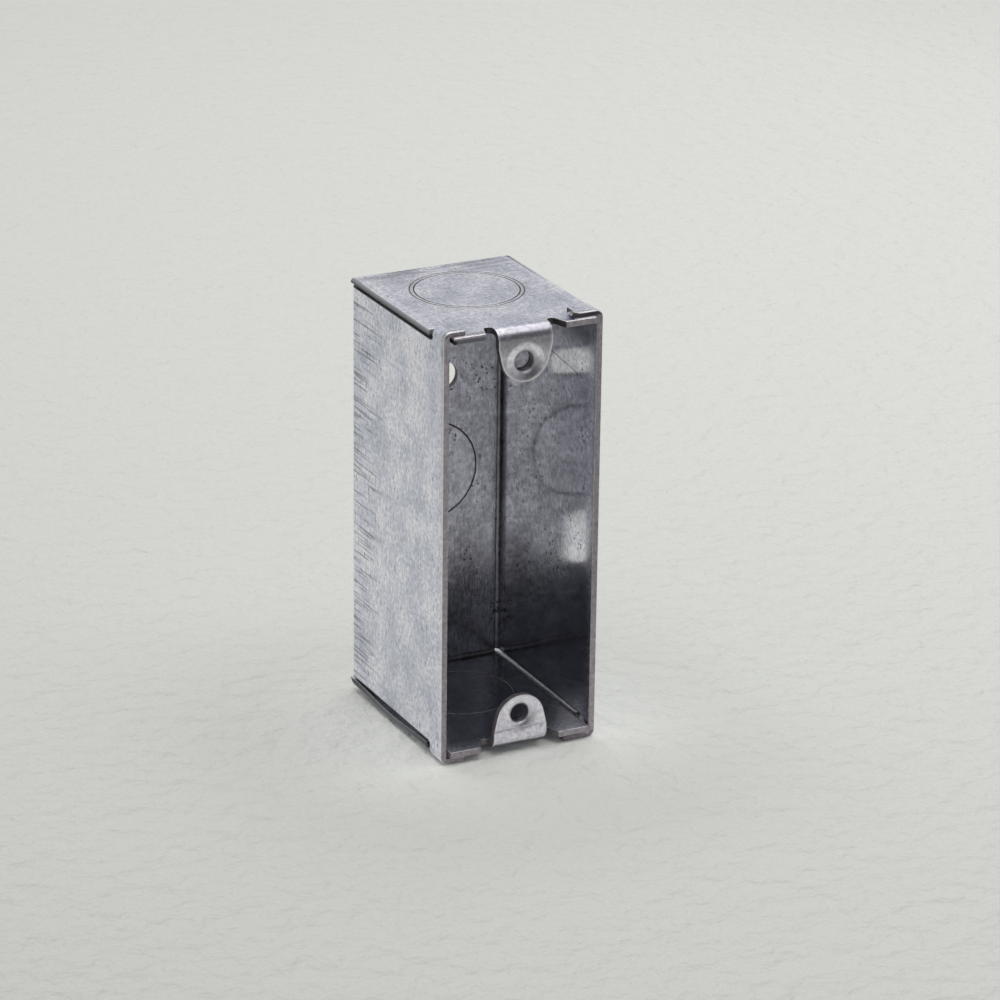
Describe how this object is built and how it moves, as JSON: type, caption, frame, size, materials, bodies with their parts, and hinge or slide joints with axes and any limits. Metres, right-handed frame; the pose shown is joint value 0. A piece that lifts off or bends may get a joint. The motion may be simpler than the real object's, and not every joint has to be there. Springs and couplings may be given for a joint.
{
  "type": "flush back box",
  "caption": "Narrow galvanised steel wall box folded from sheet, open at the front, with threaded lugs for a cover, knockouts and fixing slots.",
  "frame": {"origin": "midway between the two cover screw holes, on the plane that a cover seats on", "axes": "+Z along the box's long side, towards its upper end; +Y from the open front to the back plate; +X across the box, to the right when looking into it"},
  "size_m": [0.0282, 0.035, 0.0741],
  "materials": {
    "galvanised_steel": "dull zinc-coated steel with bare sheared edges"
  },
  "bodies": {
    "root": {"back_box": "galvanised_steel"}
  },
  "joints": []
}
